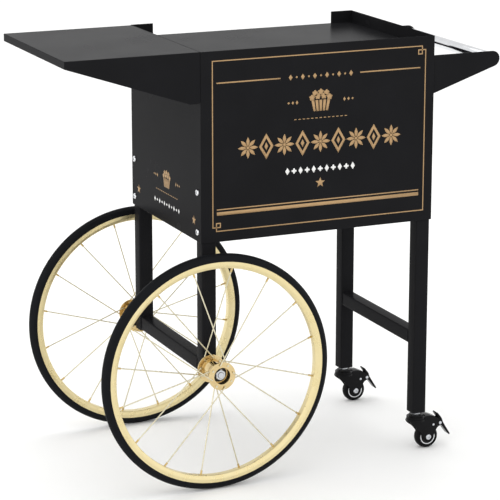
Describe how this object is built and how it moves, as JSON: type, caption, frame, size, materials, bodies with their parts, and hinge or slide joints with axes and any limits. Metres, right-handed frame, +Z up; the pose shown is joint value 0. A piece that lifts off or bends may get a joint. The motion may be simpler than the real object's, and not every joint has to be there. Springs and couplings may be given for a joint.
{
  "type": "popcorn cart",
  "caption": "Vintage-style vending cart: black sheet-metal cabinet with machine tray, side shelf, push handle, big spoked wheels and braked swivel casters.",
  "frame": {"origin": "on the floor, under the middle of the cart's length and depth", "axes": "+X from the side shelf to the push handle, +Y from the front panel to the doors, +Z up"},
  "size_m": [0.938, 0.509, 0.878],
  "materials": {
    "black_coat": "satin black powder coat",
    "chrome_tube": "polished chrome plate",
    "steel_zinc": "bright zinc-plated steel",
    "tyre_rubber": "solid black rubber",
    "gold_paint": "pale gold enamel",
    "spoke_steel": "champagne plated wire",
    "hub_brass": "polished rose brass plate",
    "seal_black": "matte black seal",
    "caster_black": "semi-gloss black",
    "tread_rubber": "matte black tread",
    "core_plastic": "black moulded nylon",
    "plug_plastic": "black moulded plastic"
  },
  "bodies": {
    "cart": {"axle_crossbar": "black_coat", "axle_nuts": "steel_zinc", "axle_spacers": "steel_zinc", "caster_crossbar": "black_coat", "caster_stems": "steel_zinc", "floor_pan": "black_coat", "front_handle_bracket": "black_coat", "front_left_leg": "black_coat", "front_panel": "black_coat", "front_right_leg": "black_coat", "handle_screws": "steel_zinc", "handle_tube": "chrome_tube", "hinge_frame_leaves": "steel_zinc", "hinge_pins": "steel_zinc", "left_side_panel": "black_coat", "leg_bolts": "chrome_tube", "leg_end_plugs": "plug_plastic", "leg_nuts": "steel_zinc", "magnet_catch": "steel_zinc", "rear_handle_bracket": "black_coat", "rear_left_leg": "black_coat", "rear_right_leg": "black_coat", "right_side_panel": "black_coat", "shelf_screws": "steel_zinc", "side_shelf": "black_coat", "tray_top": "black_coat", "wheel_axle": "steel_zinc"},
    "left_door": {"left_door": "black_coat", "left_hinge_leaves": "steel_zinc", "left_knob": "chrome_tube", "left_strike_plate": "steel_zinc"},
    "right_door": {"right_door": "black_coat", "right_hinge_leaves": "steel_zinc", "right_knob": "chrome_tube", "right_strike_plate": "steel_zinc"},
    "front_wheel": {"front_hub": "hub_brass", "front_rim": "gold_paint", "front_spoke_nipples": "hub_brass", "front_spokes": "spoke_steel", "front_tyre": "tyre_rubber", "front_wheel_bearings": "seal_black"},
    "front_caster_fork": {"front_caster_bolt": "steel_zinc", "front_caster_pedal_pin": "steel_zinc", "front_caster_yoke": "caster_black"},
    "front_caster_wheel": {"front_caster_core": "core_plastic", "front_caster_tread": "tread_rubber"},
    "front_brake_pedal": {"front_caster_brake_pedal": "caster_black"},
    "rear_wheel": {"rear_hub": "hub_brass", "rear_rim": "gold_paint", "rear_spoke_nipples": "hub_brass", "rear_spokes": "spoke_steel", "rear_tyre": "tyre_rubber", "rear_wheel_bearings": "seal_black"},
    "rear_caster_fork": {"rear_caster_bolt": "steel_zinc", "rear_caster_pedal_pin": "steel_zinc", "rear_caster_yoke": "caster_black"},
    "rear_caster_wheel": {"rear_caster_core": "core_plastic", "rear_caster_tread": "tread_rubber"},
    "rear_brake_pedal": {"rear_caster_brake_pedal": "caster_black"}
  },
  "joints": [
    {"name": "front_wheel_spin", "type": "hinge", "parent": "cart", "child": "front_wheel", "pos_m": [-0.1755, -0.221, 0.242], "axis": [0, 1, 0], "continuous": true},
    {"name": "front_caster_swivel", "type": "hinge", "parent": "cart", "child": "front_caster_fork", "pos_m": [0.2995, -0.1715, 0.07], "axis": [0, 0, 1], "continuous": true},
    {"name": "front_caster_roll", "type": "hinge", "parent": "front_caster_fork", "child": "front_caster_wheel", "pos_m": [0.3235, -0.1715, 0.025], "axis": [0, 1, 0], "continuous": true},
    {"name": "front_brake_rock", "type": "hinge", "parent": "front_caster_fork", "child": "front_brake_pedal", "pos_m": [0.3509, -0.1715, 0.053], "axis": [0, 1, 0], "range_deg": [0, 18]},
    {"name": "rear_wheel_spin", "type": "hinge", "parent": "cart", "child": "rear_wheel", "pos_m": [-0.1755, 0.221, 0.242], "axis": [0, 1, 0], "continuous": true},
    {"name": "rear_caster_swivel", "type": "hinge", "parent": "cart", "child": "rear_caster_fork", "pos_m": [0.2995, 0.1715, 0.07], "axis": [0, 0, 1], "continuous": true},
    {"name": "rear_caster_roll", "type": "hinge", "parent": "rear_caster_fork", "child": "rear_caster_wheel", "pos_m": [0.3235, 0.1715, 0.025], "axis": [0, 1, 0], "continuous": true},
    {"name": "rear_brake_rock", "type": "hinge", "parent": "rear_caster_fork", "child": "rear_brake_pedal", "pos_m": [0.3509, 0.1715, 0.053], "axis": [0, 1, 0], "range_deg": [0, 18]},
    {"name": "left_door_swing", "type": "hinge", "parent": "cart", "child": "left_door", "pos_m": [-0.142, 0.192, 0.673], "axis": [0, 0, 1], "range_deg": [0, 110]},
    {"name": "right_door_swing", "type": "hinge", "parent": "cart", "child": "right_door", "pos_m": [0.266, 0.192, 0.673], "axis": [0, 0, -1], "range_deg": [0, 110]}
  ]
}
